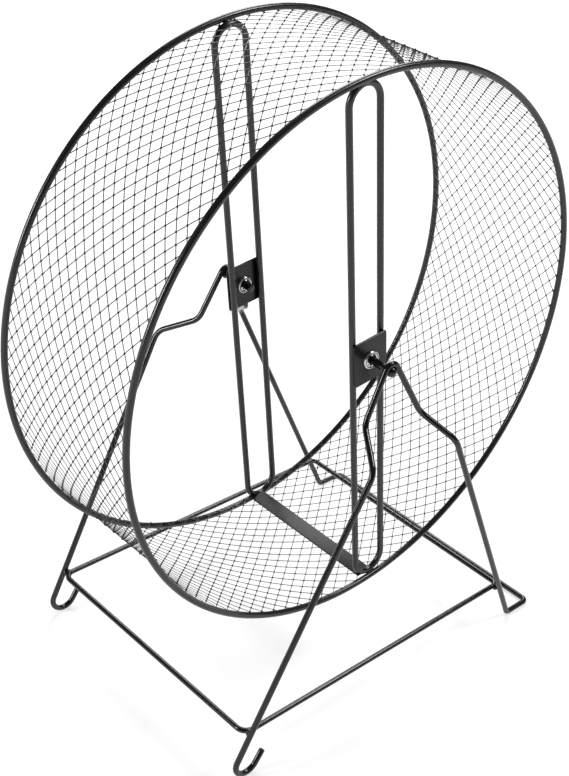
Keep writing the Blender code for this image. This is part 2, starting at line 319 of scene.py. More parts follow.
class Nodes:
    """The nodes of a material or of the world."""

    def __init__(self, owner: bpy.types.Material | bpy.types.World) -> None:
        """Take up the owner's nodes."""
        owner.use_nodes = True
        self.tree = owner.node_tree

    def feed(self, node: bpy.types.Node, inputs: Inputs) -> None:
        """Set a node's inputs.

        Args:
            node: the node.
            inputs: for each input its value, or the socket that it is linked to.
        """
        for name, given in inputs.items():
            if isinstance(given, Socket):
                self.tree.links.new(given, node.inputs[name])
            else:
                node.inputs[name].default_value = given

    def close(self, name: str, inputs: Inputs) -> None:
        """Set the inputs of the shader that the nodes start with."""
        self.feed(self.tree.nodes[name], inputs)

    def add(self, kind: str, output: str | int, inputs: Inputs, **settings: str) -> Socket:
        """Add a node.

        Args:
            kind: its type.
            output: the output that is used.
            inputs: for each input its value, or the socket that it is linked to.
            settings: its choices, such as its operation.

        Returns:
            The socket of that output.
        """
        made = self.tree.nodes.new(kind)
        for name, choice in settings.items():
            setattr(made, name, choice)
        self.feed(made, inputs)
        return made.outputs[output]

    def noise(self, place: Socket, scale: float, detail: float) -> Socket:
        """Noise over a piece, as a value."""
        return self.add("ShaderNodeTexNoise", "Fac", {"Vector": place, "Scale": scale, "Detail": detail})

    def bump(self, height: Socket, strength: float, distance: float) -> Socket:
        """A height as relief, by the normal."""
        inputs = {"Height": height, "Strength": strength, "Distance": distance}
        return self.add("ShaderNodeBump", "Normal", inputs)

    def remap(self, value: Socket, source: Pair, target: Pair, kind: str = "LINEAR") -> Socket:
        """A value taken from the source range to the target range."""
        ends = dict(zip(("From Min", "From Max", "To Min", "To Max"), source + target))
        return self.add("ShaderNodeMapRange", "Result", {"Value": value, **ends}, interpolation_type=kind)

    def ramp(self, value: Socket, stops: Pair, colours: tuple[Triple, Triple]) -> Socket:
        """Turn a value into a colour.

        Args:
            value: the value.
            stops: where the ramp starts and ends.
            colours: its colours there.

        Returns:
            The colour.
        """
        made = self.tree.nodes.new("ShaderNodeValToRGB")
        self.feed(made, {"Fac": value})
        for element, stop, colour in zip(made.color_ramp.elements, stops, colours):
            element.position = stop
            element.color = (*colour, 1)
        return made.outputs["Color"]


@dataclass(frozen=True)
class Coating:
    """A black coating on steel: its colour and gloss wander a little, over a fine skin."""

    name: str
    dark: Triple
    light: Triple
    roughness: Pair
    patch_scale: float
    grain_scale: float
    relief: float
    specular: float = 0.5
    patch_detail: float = 4.0
    patch_stops: Pair = (0.35, 0.65)
    grain_detail: float = 3.0
    grain_range: Pair = (0.3, 0.7)
    relief_strength: float = 0.35

    def material(self) -> bpy.types.Material:
        """Make the coating's material from noise on the piece's own coordinates.

        Returns:
            The new material.
        """
        made = bpy.data.materials.new(self.name)
        nodes = Nodes(made)
        place = nodes.add("ShaderNodeTexCoord", "Object", {})
        patches = nodes.noise(place, self.patch_scale, self.patch_detail)
        grain = nodes.noise(place, self.grain_scale, self.grain_detail)
        inputs = {
            "Specular IOR Level": self.specular,
            "Base Color": nodes.ramp(patches, self.patch_stops, (self.dark, self.light)),
            "Roughness": nodes.remap(grain, self.grain_range, self.roughness),
            "Normal": nodes.bump(grain, self.relief_strength, self.relief),
        }
        nodes.close("Principled BSDF", inputs)
        return made


@dataclass(frozen=True)
class Plating:
    """Bright nickel on the eyelets: faint rings from rolling, a little tarnish, and painted shade in the
    groove.
    """

    name: str = "bright_nickel_plating"
    bright: Triple = (0.7, 0.69, 0.68)
    dull: Triple = (0.42, 0.41, 0.4)
    roughness: Pair = (0.3, 0.12)
    tarnish_scale: float = 260.0
    tarnish_detail: float = 5.0
    tarnish_stops: Pair = (0.3, 0.6)
    ring_scale: float = 900.0
    ring_distortion: float = 1.5
    ring_relief: float = 0.00003
    ring_strength: float = 0.1
    # The near-black colour of the painted shade in the eyelet's groove
    painted_groove_shade: Triple = (0.025, 0.024, 0.023)
    groove_radius: float = 0.0038
    groove_half_width: float = 0.0002

    def material(self) -> bpy.types.Material:
        """Make the plating's material.

        Returns:
            The new material.
        """
        made = bpy.data.materials.new(self.name)
        nodes = Nodes(made)
        place = nodes.add("ShaderNodeTexCoord", "Object", {})
        tarnish = nodes.noise(place, self.tarnish_scale, self.tarnish_detail)
        colour = nodes.ramp(tarnish, self.tarnish_stops, (self.dull, self.bright))
        rings = {"Vector": place, "Scale": self.ring_scale, "Distortion": self.ring_distortion}
        rolled = nodes.add("ShaderNodeTexWave", "Fac", rings, bands_direction="Y")
        inputs = {
            "Metallic": 1.0,
            "Base Color": self.add_painted_groove_shade(nodes, place, colour),
            "Roughness": nodes.remap(tarnish, (0.0, 1.0), self.roughness),
            "Normal": nodes.bump(rolled, self.ring_strength, self.ring_relief),
        }
        nodes.close("Principled BSDF", inputs)
        return made

    def add_painted_groove_shade(self, nodes: Nodes, place: Socket, colour: Socket) -> Socket:
        """Paint shade into the groove between the eyelet's two rings, as a near-black ring of colour.

        Args:
            nodes: the material's nodes.
            place: the place on the piece.
            colour: the plating's colour.

        Returns:
            The colour with painted shade in its groove.
        """
        flat = {0: place, 1: (1, 0, 1), 2: -AXLE_LINE}
        from_axle = nodes.add("ShaderNodeVectorMath", "Vector", flat, operation="MULTIPLY_ADD")
        radius = nodes.add("ShaderNodeVectorMath", "Value", {0: from_axle}, operation="LENGTH")
        groove = {0: radius, 1: self.groove_radius, 2: self.groove_half_width}
        in_groove = nodes.add("ShaderNodeMath", 0, groove, operation="COMPARE")
        # Painted shade: near-black colour in a thin ring at the groove's radius round the axle line
        inputs = {"Factor": in_groove, MIX_FIRST: colour, MIX_SECOND: (*self.painted_groove_shade, 1)}
        return nodes.add("ShaderNodeMix", MIX_RESULT, inputs, data_type="RGBA")


@dataclass(frozen=True)
class Finishes:
    """The materials that the pieces share."""

    stand_wire: bpy.types.Material
    drum_wire: bpy.types.Material
    sheet: bpy.types.Material
    hub_sheet: bpy.types.Material
    mesh: bpy.types.Material
    nickel: bpy.types.Material

    @staticmethod
    def make() -> "Finishes":
        """Make every finish of the wheel.

        Returns:
            The finishes.
        """
        stand_wire = Coating(
            name="gloss_black_stand_wire",
            dark=(0.004, 0.004, 0.0042),
            light=(0.009, 0.009, 0.0093),
            roughness=(0.12, 0.2),
            patch_scale=55,
            grain_scale=900,
            relief=0.000012,
        )
        drum_wire = Coating(
            name="satin_black_drum_wire",
            dark=(0.006, 0.006, 0.0062),
            light=(0.012, 0.012, 0.0123),
            roughness=(0.22, 0.32),
            patch_scale=60,
            grain_scale=1400,
            relief=0.00002,
            specular=0.58,
        )
        sheet = Coating(
            name="satin_black_sheet",
            dark=(0.004, 0.004, 0.0042),
            light=(0.014, 0.014, 0.0143),
            roughness=(0.36, 0.5),
            patch_scale=1400,
            grain_scale=1800,
            relief=0.00003,
            specular=0.3,
        )
        hub_sheet = replace(
            sheet, name="satin_black_hub_sheet", roughness=(0.24, 0.34), relief=0.00001, specular=0.32
        )
        mesh = Coating(
            name="black_coated_mesh",
            dark=(0.012, 0.012, 0.0125),
            light=(0.024, 0.024, 0.0245),
            roughness=(0.34, 0.48),
            patch_scale=120,
            grain_scale=1800,
            relief=0.00002,
        )
        coatings = (stand_wire, drum_wire, sheet, hub_sheet, mesh)
        return Finishes(*(coating.material() for coating in coatings), nickel=Plating().material())


def dress(
    piece: bpy.types.Object, material: bpy.types.Material, body: Body, slot: Slot, *nodes: str
) -> bpy.types.Object:
    """Give a piece its finish and its body, and hide the CAD nodes that it replaces.

    Args:
        piece: the piece, in its place.
        material: its finish.
        body: what it moves with.
        slot: the record's slot that the finish stands for; not used.
        nodes: the CAD nodes that it replaces.

    Returns:
        The same piece.
    """
    piece.data.materials.append(material)
    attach(piece, body.value)
    if nodes:
        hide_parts(*nodes)
    return piece


@dataclass
class Bead:
    """A lump of weld metal under the coating."""

    centre: Vector
    reach: Vector
    seed: int
    rings: int = 10
    segments: int = 16
    waves: int = 4
    wave_rates: Pair = (1.0, 3.5)
    wave_starts: Pair = (0, 6.28)
    wave_sizes: Pair = (0.03, 0.07)

    def add_to(self, shape: Shape) -> None:
        """Add the bead to a shape, as a rounded lump with an uneven skin.

        Args:
            shape: the shape that it joins.
        """
        lumps = random.Random(self.seed)
        ranges = (self.wave_rates, self.wave_starts, self.wave_sizes)
        waves = [[lumps.uniform(*ends) for ends in ranges] for _ in range(self.waves)]
        rings = []
        for ring in range(1, self.rings):
            fall = math.pi * ring / self.rings
            points = []
            for segment in range(self.segments):
                turn = 2 * math.pi * segment / self.segments
                swell = 1 + sum(
                    size * math.sin(rate * (turn + fall) + start) * math.sin(fall)
                    for rate, start, size in waves
                )
                level = math.sin(fall)
                way = Vector((level * math.cos(turn), level * math.sin(turn), math.cos(fall)))
                points.append(self.centre + way * self.reach * swell)
            rings.append(shape.ring(points))
        shape.skin(rings, closed=False)
        top = shape.ring([self.centre + Vector((0, 0, self.reach.z))])[0]
        bottom = shape.ring([self.centre - Vector((0, 0, self.reach.z))])[0]
        for index in range(self.segments):
            after = (index + 1) % self.segments
            shape.faces.append((rings[0][index], rings[0][after], top))
            shape.faces.append((rings[-1][after], rings[-1][index], bottom))


@dataclass
class Assembly:
    """A sub-assembly, with the finishes of its pieces."""

    finishes: Finishes


@dataclass
class Stand(Assembly):
    """The bent wire stand: legs, hooks, rail, base frame and stub axles."""

    leg_wire: float = 0.0031
    frame_wire: float = 0.0029
    apex_out: float = 0.0600
    upper_left: Triple = (-0.0163, 0.0623, 0.0224)
    upper_right: Triple = (0.0184, 0.0652, 0.0267)
    lower_left: Triple = (-0.0280, 0.0821, 0.0345)
    lower_right: Triple = (0.0283, 0.0821, 0.0385)
    left_reach: float = 0.0936
    right_reach: float = 0.0870
    hook_out: float = 0.0790
    foot_out: float = 0.0795
    leg_bend: float = 0.009
    hook_bend: float = 0.0068
    hook_heading: float = math.radians(56)
    hook_tail: float = 0.0071
    foot_bend: float = 0.003
    rail_reach: float = 0.1155
    rail_corner: float = 0.0028
    frame_height: float = 0.0257
    frame_left: float = 0.0951
    frame_right: float = 0.0884
    frame_left_corner: float = 0.0056
    frame_right_corner: float = 0.0034
    axle: float = 0.004
    axle_inner_end: float = 0.0399
    axle_outer_end: float = 0.0634
    ball: float = 0.0053
    seat_gap: float = 0.0003
    inner_end_shares: tuple[float, ...] = (0.5, 0.8, 0.95, 1.0)
    inner_end_rounding: float = 0.0007
    ball_neck: float = 0.0008
    # A side's weld beads, at the left leg, at the right leg and over the axle: the shift and the reach
    beads: tuple[tuple[Triple, Triple], ...] = (
        ((0.0007, -0.0004, 0.0002), (0.0022, 0.0018, 0.0019)),
        ((-0.0008, -0.0001, -0.0002), (0.0022, 0.0018, 0.0018)),
        ((0.0002, 0.0, 0.0001), (0.0017, 0.0018, 0.0011)),
    )
    bead_seed_step: int = 10
    hook_steps: int = 28
    apex_steps: int = 20
    frame_corner_steps: int = 14
    ball_steps: int = 14
    leg_sides: int = 20
    axle_segments: int = 48

    def place(self, run: Triple, side: Side) -> Vector:
        """Where a leg bends, from (reach, way out, drop below the axle line)."""
        reach, out, drop = run
        return Vector((reach, side.value * out, AXLE_LINE.z - drop))

    def apex(self, side: Side) -> tuple[Vector, float]:
        """The corner over a stub axle, and the radius of the bend there.

        Args:
            side: the side of the stand.

        Returns:
            Where the two upper runs would meet, and the bend's radius.
        """
        radius = self.axle / 2 + self.seat_gap + self.leg_wire / 2

        def lean(reach: float, drop: float) -> float:
            """The angle of a run's normal where it clears the axle."""
            return math.pi / 2 - math.atan2(reach, drop) + math.asin(radius / math.hypot(reach, drop))

        left = lean(-self.upper_left[0], self.upper_left[2])
        right = lean(self.upper_right[0], self.upper_right[2])
        distance = radius / math.cos((left + right) / 2)
        tilt = (right - left) / 2
        across, up = distance * math.sin(tilt), distance * math.cos(tilt)
        return Vector((across, side.value * self.apex_out, AXLE_LINE.z + up)), radius

    def hook(self, side: Side) -> Points:
        """Points of a hook, from its tail up to the straight left leg.

        Args:
            side: the side of the stand.

        Returns:
            The points of its middle line.
        """
        upper = self.place(self.lower_left, side)
        down = Vector((-self.left_reach - upper.x, 0, self.frame_height - upper.z)).normalized()
        inward = Vector((-down.z, 0, down.x))
        touch_height = self.leg_wire / 2 + self.hook_bend * (1 - inward.z)
        along = (touch_height - self.frame_height) / down.z
        touch = Vector((-self.left_reach + along * down.x, side.value * self.hook_out, touch_height))
        centre = touch + inward * self.hook_bend
        start = math.atan2(-inward.z, -inward.x)
        end = 3 * math.pi / 2 + self.hook_heading
        turn = arc(centre, self.hook_bend, start, end, self.hook_steps)
        heading = Vector((math.cos(self.hook_heading), 0, math.sin(self.hook_heading)))
        return [turn[-1] + self.hook_tail * heading] + turn[::-1]

    def half_path(self, side: Side) -> Points:
        """One half of the stand's wire, from the hook's tail to the corner of the rail.

        Args:
            side: the side of the stand.

        Returns:
            The points of its middle line.
        """
        corner, radius = self.apex(side)
        upper_left = self.place(self.upper_left, side)
        upper_right = self.place(self.upper_right, side)
        lower_left = self.place(self.lower_left, side)
        lower_right = self.place(self.lower_right, side)
        ground = self.leg_wire / 2
        slope = (self.right_reach - lower_right.x) / (lower_right.z - self.frame_height)
        out = side.value * self.foot_out
        foot = Vector((self.right_reach + slope * (self.frame_height - ground), out, ground))
        rail = Vector((self.rail_reach, out, ground))
        points = self.hook(side)
        points += bend(points[-1], lower_left, upper_left, self.leg_bend)
        points += bend(lower_left, upper_left, corner, self.leg_bend)
        points += bend(upper_left, corner, upper_right, radius, self.apex_steps)
        points += bend(corner, upper_right, lower_right, self.leg_bend)
        points += bend(upper_right, lower_right, foot, self.leg_bend)
        points += bend(lower_right, foot, rail, self.foot_bend)
        points += bend(foot, rail, Vector((self.rail_reach, 0, ground)), self.rail_corner)
        return points

    def leg_out(self, height: float) -> float:
        """How far out along Y the left legs are at a height.

        Args:
            height: the height above the ground.

        Returns:
            The distance from the middle of the stand.
        """
        top = AXLE_LINE.z - self.lower_left[2]
        bottom = self.leg_wire / 2 + self.hook_bend
        return self.hook_out + (self.lower_left[1] - self.hook_out) * (height - bottom) / (top - bottom)

    def build_wire(self) -> bpy.types.Object:
        """Make the one long wire of the stand, from hook to hook.

        Returns:
            The new piece.
        """
        shape = Shape()
        path = self.half_path(Side.FRONT) + self.half_path(Side.REAR)[::-1]
        shape.wire(path, self.leg_wire, sides=self.leg_sides)
        nodes = ("front_leg_wire", "rear_leg_wire", "ground_rail")
        return dress(shape.finish("stand_wire"), self.finishes.stand_wire, Body.STAND, Slot.WIRE, *nodes)

    def frame_half_depth(self) -> float:
        """Half the distance between the base frame's two long runs."""
        low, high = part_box("base_frame")
        return (high.y - low.y - self.frame_wire) / 2

    def build_frame(self) -> bpy.types.Object:
        """Make the closed wire rectangle that ties the legs together.

        Returns:
            The new piece.
        """
        shape = Shape()
        width = self.frame_left + self.frame_right
        depth = 2 * self.frame_half_depth()
        middle = (self.frame_right - self.frame_left) / 2
        left, right = self.frame_left_corner, self.frame_right_corner
        outline = rounded_rectangle(width, depth, (right, left, left, right), self.frame_corner_steps)
        path = [Vector((middle + point.x, point.z, self.frame_height)) for point in outline]
        shape.wire(path, self.frame_wire, closed=True)
        piece = shape.finish("base_frame_wire")
        return dress(piece, self.finishes.stand_wire, Body.STAND, Slot.WIRE, "base_frame")

    def build_axle(self, side: Side) -> bpy.types.Object:
        """Make a stub axle with the ball that is upset on its outer end.

        Args:
            side: the side of the stand.

        Returns:
            The new piece.
        """
        shape = Shape()
        radius = self.axle / 2
        ball = self.ball / 2
        centre = self.axle_outer_end - ball
        neck = math.asin(radius / ball)
        profile = [(0.0, self.axle_inner_end)]
        for share in self.inner_end_shares:
            rounding = self.inner_end_rounding * (1 - math.sqrt(1 - share * share))
            profile.append((radius * share, self.axle_inner_end + rounding))
        profile.append((radius, centre - ball * math.cos(neck) - self.ball_neck))
        for step in range(self.ball_steps + 1):
            turn = neck + (math.pi - neck) * step / self.ball_steps
            profile.append((ball * math.sin(turn), centre - ball * math.cos(turn)))
        shape.turned(profile, side, self.axle_segments)
        piece = shape.finish(f"{side.word}_axle_pin")
        return dress(piece, self.finishes.stand_wire, Body.STAND, Slot.WIRE, f"{side.word}_stub_axle")

    def build_welds(self) -> bpy.types.Object:
        """Make the weld beads at the frame's corners and over the stub axles.

        Returns:
            The new piece.
        """
        shape = Shape()
        between = (self.leg_out(self.frame_height) + self.frame_half_depth()) / 2
        joints = (
            (-self.left_reach, between, self.frame_height),
            (self.right_reach, between, self.frame_height),
            (0.0, self.apex_out, AXLE_LINE.z + self.axle / 2),
        )
        for side in Side:
            for number, (joint, (shift, reach)) in enumerate(zip(joints, self.beads)):
                across, out, up = (place + step for place, step in zip(joint, shift))
                centre = Vector((across, side.value * out, up))
                Bead(centre, Vector(reach), self.bead_seed_step * number + side.value).add_to(shape)
        return dress(shape.finish("stand_weld_beads"), self.finishes.stand_wire, Body.STAND, Slot.WIRE)

    def build(self) -> list[bpy.types.Object]:
        """Make every piece of the stand.

        Returns:
            The pieces.
        """
        pieces = [self.build_wire(), self.build_frame()]
        pieces += [self.build_axle(side) for side in Side]
        pieces.append(self.build_welds())
        return pieces


@dataclass
class Hub(Assembly):
    """A hub plate and its eyelet, on one face of the drum."""

    side: Side
    plate_width: float = 0.0214
    plate_height: float = 0.0245
    plate_thickness: float = 0.001
    plate_corner: float = 0.002
    plate_inner_face: float = 0.0459
    edge_inset: float = 0.00038
    edge_depth: float = 0.00048
    eyelet_bore: float = 0.0056
    eyelet_barrel: float = 0.0066
    eyelet_flange: float = 0.0095
    eyelet_proud: float = 0.0013
    hole_clearance: float = 0.00005
    waist_inset: float = 0.2
    groove_depth: float = 0.00042
    groove_width: float = 0.00032
    corner_steps: int = 12
    back_steps: int = 12
    front_steps: int = 24
    eyelet_segments: int = 72

    def build_plate(self, turn: Matrix) -> bpy.types.Object:
        """Make the sheet that joins the loop's two wires, with chamfered edges and a hole.

        Args:
            turn: the drum's turn at rest, about the axle line.

        Returns:
            The new piece.
        """
        shape = Shape()
        hole = self.eyelet_barrel / 2 + self.hole_clearance

        def outline(inset: float) -> Points:
            """The plate's outline, drawn in by an inset."""
            width, height = self.plate_width - 2 * inset, self.plate_height - 2 * inset
            return rounded_rectangle(width, height, (self.plate_corner - inset,) * 4, self.corner_steps)

        bearings = [math.atan2(point.z, point.x) for point in outline(0)]

        def level(inset: float, out: float) -> list[int]:
            """Add the outline, drawn in by an inset, at a way out."""
            return shape.ring([self.at(turn, point.x, out, point.z) for point in outline(inset)])

        def rim(out: float) -> list[int]:
            """Add the hole's outline at a way out."""
            return shape.ring([self.at(turn, hole * math.cos(b), out, hole * math.sin(b)) for b in bearings])

        low = self.plate_inner_face
        high = low + self.plate_thickness
        rings = [rim(low), level(self.edge_inset, low), level(0, low + self.edge_depth)]
        rings += [level(0, high - self.edge_depth), level(self.edge_inset, high), rim(high)]
        shape.skin(rings, closed=True)
        piece = shape.finish(f"{self.side.word}_hub_sheet")
        return dress(piece, self.finishes.hub_sheet, Body.WHEEL, Slot.SHEET, f"{self.side.word}_hub_plate")

    def at(self, turn: Matrix, across: float, out: float, up: float) -> Vector:
        """A place on the hub, from its own directions."""
        return AXLE_LINE + turn @ Vector((across, self.side.value * out, up))

    def build_eyelet(self) -> bpy.types.Object:
        """Make the eyelet: a tube whose ends are rolled over the plate on both sides.

        Returns:
            The new piece.
        """
        shape = Shape()
        bore = self.eyelet_bore / 2
        flange = self.eyelet_flange / 2
        inner = self.plate_inner_face
        outer = inner + self.plate_thickness
        roll = (flange - bore) / 2
        middle = (flange + bore) / 2
        back = []
        for step in range(self.back_steps, -1, -1):
            angle = math.pi * step / self.back_steps
            back.append((middle - roll * math.cos(angle), inner - self.eyelet_proud * math.sin(angle)))
        inset = self.waist_inset * self.plate_thickness
        waist = [(bore, inner + inset), (bore, outer - inset)]
        front = []
        for step in range(self.front_steps + 1):
            angle = math.pi * step / self.front_steps
            radius = middle - roll * math.cos(angle)
            rise = self.eyelet_proud * math.sin(angle)
            groove = self.groove_depth * math.exp(-(((radius - middle) / self.groove_width) ** 2))
            front.append((radius, outer + rise - groove))
        shape.turned(back + waist + front, self.side, self.eyelet_segments)
        piece = shape.finish(f"{self.side.word}_rolled_eyelet", sharp=60)
        return dress(piece, self.finishes.nickel, Body.WHEEL, Slot.NICKEL, f"{self.side.word}_eyelet")

    def build(self, turn: Matrix) -> list[bpy.types.Object]:
        """Make the plate and the eyelet."""
        return [self.build_plate(turn), self.build_eyelet()]


@dataclass
class Drum(Assembly):
    """The rims and the spoke loops."""

    rim_radius: float = 0.13995
    half_width: float = 0.0461
    rim_wire: float = 0.0033
    spoke_wire: float = 0.0033
    spoke_spacing: float = 0.0181
    spoke_out: float = 0.0440
    spoke_end: float = 0.1374
    turn: float = math.radians(-6.9)
    bead_shift: Pair = (0.0011, 0.0009)
    bead_reach: Triple = (0.0026, 0.0013, 0.0013)
    bead_seed: int = 40
    rim_steps: int = 288
    loop_steps: int = 32

    def rest_turn(self) -> Matrix:
        """The drum's turn at rest, about the axle line."""
        return Matrix.Rotation(self.turn, 3, "Y")

    def build_rim(self, side: Side) -> bpy.types.Object:
        """Make a rim: a hoop of round wire.

        Args:
            side: the face of the drum.

        Returns:
            The new piece.
        """
        shape = Shape()
        centre = AXLE_LINE + Vector((0, side.value * self.half_width, 0))
        path = arc(centre, self.rim_radius, 0, 2 * math.pi, self.rim_steps)[:-1]
        shape.wire(path, self.rim_wire, closed=True)
        piece = shape.finish(f"{side.word}_rim_hoop")
        return dress(piece, self.finishes.drum_wire, Body.WHEEL, Slot.WIRE, f"{side.word}_rim")

    def build_loop(self, side: Side) -> bpy.types.Object:
        """Make a spoke loop, with a weld bead where each end meets the rim.

        Args:
            side: the face of the drum.

        Returns:
            The new piece.
        """
        shape = Shape()
        half = self.spoke_spacing / 2
        reach = self.spoke_end - half
        out = side.value * self.spoke_out
        top = arc(Vector((0, out, reach)), half, 0, math.pi, self.loop_steps)
        bottom = arc(Vector((0, out, -reach)), half, math.pi, 2 * math.pi, self.loop_steps)
        path = [AXLE_LINE + self.rest_turn() @ point for point in top + bottom]
        shape.wire(path, self.spoke_wire, closed=True)
        outward, past = self.bead_shift
        for way in (1, -1):
            joint = Vector((0, side.value * (self.spoke_out + outward), way * (self.spoke_end + past)))
            centre = AXLE_LINE + self.rest_turn() @ joint
            Bead(centre, Vector(self.bead_reach), self.bead_seed + way + side.value).add_to(shape)
        piece = shape.finish(f"{side.word}_spoke_wire")
        return dress(piece, self.finishes.drum_wire, Body.WHEEL, Slot.WIRE, f"{side.word}_spoke_loop")

    def build(self) -> list[bpy.types.Object]:
        """Make the rims and the loops."""
        pieces = [self.build_rim(side) for side in Side]
        return pieces + [self.build_loop(side) for side in Side]


@dataclass
class RunningSurface(Assembly):
    """The strip of stretched mesh that is wrapped round the drum, and the flat bar over its seam."""

    radius: float = 0.1381
    columns: int = 97
    first_knot: float = math.radians(276.74)
    cell_angle: float = math.radians(3.6526)
    cell_growth: float = math.radians(0.00056)
    seam: float = math.radians(275.3)
    pitch_along: float = 0.00703
    first_row: float = -0.0436
    rows_before: int = 3
    rows: int = 32
    wander: tuple[float, float, float, float] = (0.0003, 0.0034, -0.0602, 0.0543)
    strand_width: float = 0.00045
    strand_thickness: float = 0.00022
    strand_tilt: float = math.radians(2)
    knot_length: float = 0.0009
    knot_width: float = 0.00085
    knot_thickness: float = 0.001
    # The knot's sections: how far out each lies, in thicknesses, and its share of the full section
    knot_levels: tuple[Pair, ...] = ((-0.5, 0.6), (0.0, 1.0), (0.5, 0.6))
    knot_corners: int = 6
    end_out: float = 0.0460
    bar_width: float = 0.0092
    bar_thickness: float = 0.0008
    bar_half_length: float = 0.0450
    bar_radius: float = 0.1367
    bar_turn: float = math.radians(-84.7)
    bar_edge_rounding: float = 0.9
    bar_edge_steps: int = 5
    # The bar's sections: the share of the full section, and where it lies, in half lengths
    bar_levels: tuple[Pair, ...] = (
        (0.9, -1.0),
        (1.0, -0.995),
        (1.0, 0.0),
        (1.0, 0.995),
        (0.9, 1.0),
    )

    def directions(self, angle: float) -> tuple[Vector, Vector, Vector]:
        """The directions of a strand's sheet at an angle round the drum.

        Args:
            angle: the angle, from +X towards +Z.

        Returns:
            Along the hoop, across the strand, and out of its face.
        """
        radial = Vector((math.cos(angle), 0, math.sin(angle)))
        along = Vector((-math.sin(angle), 0, math.cos(angle)))
        axial = Vector((0, 1, 0))
        tilt = self.strand_tilt
        across = math.cos(tilt) * axial + math.sin(tilt) * radial
        face = math.cos(tilt) * radial - math.sin(tilt) * axial
        return along, across, face

    def on_drum(self, angle: float, out: float) -> Vector:
        """A place on the mesh's cylinder."""
        return AXLE_LINE + Vector((self.radius * math.cos(angle), out, self.radius * math.sin(angle)))

    def knot_place(self, row: int, column: float) -> Pair:
        """Where two strands cross, on a strip that was stretched and wrapped a little unevenly.

        Args:
            row: the number of the row, along the axle line.
            column: the number of the column, round the drum, with a half in every second row.

        Returns:
            The angle from +X towards +Z, and the way out along Y.
        """
        angle = self.first_knot + self.cell_angle * column + self.cell_growth * column * column
        share = (angle - self.seam) / (2 * math.pi)
        shift = sum(part * share**power for power, part in enumerate(self.wander))
        return angle, self.first_row + row * self.pitch_along / 2 + shift

    def strand_end(self, shape: Shape, angle: float, out: float) -> list[int]:
        """Add the four corners that end a strand.

        Args:
            shape: the shape that they join.
            angle: the strand's angle there, from +X towards +Z.
            out: its way out along Y.

        Returns:
            The numbers of the corners.
        """
        _, across, face = self.directions(angle)
        centre = self.on_drum(angle, out)
        wide = across * self.strand_width / 2
        thick = face * self.strand_thickness / 2
        inner = [centre - wide - thick, centre + wide - thick]
        outer = [centre + wide + thick, centre - wide + thick]
        return shape.ring(inner + outer)

    def add_strand(self, shape: Shape, start: Pair, end: Pair) -> None:
        """Add a strand between two knots, cut off where it meets a rim.

        Args:
            shape: the shape that it joins.
            start: the angle and the way out of the knot that it leaves.
            end: the same of the knot that it reaches, further along Y.
        """
        if end[1] <= -self.end_out or start[1] >= self.end_out:
            return
        rise = end[1] - start[1]
        first = max(0.0, (-self.end_out - start[1]) / rise)
        last = min(1.0, (self.end_out - start[1]) / rise)
        ends = []
        for share in (first, last):
            angle = start[0] + (end[0] - start[0]) * share
            ends.append(self.strand_end(shape, angle, start[1] + rise * share))
        shape.bridge(*ends)
        shape.cap(*ends)

    def add_knot(self, shape: Shape, angle: float, out: float) -> None:
        """Add the small lump where four strands meet.

        Args:
            shape: the shape that it joins.
            angle: its angle, from +X towards +Z.
            out: its way out along Y.
        """
        along, across, face = self.directions(angle)
        centre = self.on_drum(angle, out)
        rings = []
        for level, swell in self.knot_levels:
            points = []
            for step in range(self.knot_corners):
                turn = 2 * math.pi * step / self.knot_corners
                reach = along * math.cos(turn) * self.knot_length / 2
                reach += across * math.sin(turn) * self.knot_width / HEXAGON_WIDTH
                points.append(centre + reach * swell + face * level * self.knot_thickness)
            rings.append(shape.ring(points))
        shape.skin(rings, closed=False)
        shape.cap(rings[0], rings[-1])

    def build_mesh(self) -> bpy.types.Object:
        """Make the mesh: rows of knots, joined by slanting strands and ending at the rims.

        Returns:
            The new piece.
        """
        shape = Shape()
        for row in range(-self.rows_before, self.rows):
            for number in range(self.columns):
                column = number + (row % 2) / 2
                knot = self.knot_place(row, column)
                if abs(knot[1]) < self.end_out:
                    self.add_knot(shape, *knot)
                for step in (-0.5, 0.5):
                    if column + step >= 0:
                        self.add_strand(shape, knot, self.knot_place(row + 1, column + step))
        piece = shape.finish("stretched_mesh", sharp=60)
        return dress(piece, self.finishes.mesh, Body.WHEEL, Slot.MESH, "mesh_band")

    def build_bar(self) -> bpy.types.Object:
        """Make the flat bar that covers the seam, with rolled edges.

        Returns:
            The new piece.
        """
        shape = Shape()
        radii = (self.bar_thickness / 2 * self.bar_edge_rounding,) * 4
        outline = rounded_rectangle(self.bar_width, self.bar_thickness, radii, self.bar_edge_steps)
        radial = Vector((math.cos(self.bar_turn), 0, math.sin(self.bar_turn)))
        along = Vector((-math.sin(self.bar_turn), 0, math.cos(self.bar_turn)))
        middle = AXLE_LINE + radial * self.bar_radius
        rings = []
        for shrink, out in self.bar_levels:
            centre = middle + Vector((0, out * self.bar_half_length, 0))
            rings.append(shape.ring([centre + (along * p.x + radial * p.z) * shrink for p in outline]))
        shape.skin(rings, closed=False)
        shape.cap(rings[0], rings[-1])
        piece = shape.finish("seam_strip", sharp=50)
        return dress(piece, self.finishes.sheet, Body.WHEEL, Slot.SHEET, "seam_bar")

    def build(self) -> list[bpy.types.Object]:
        """Make the mesh and the bar."""
        return [self.build_mesh(), self.build_bar()]


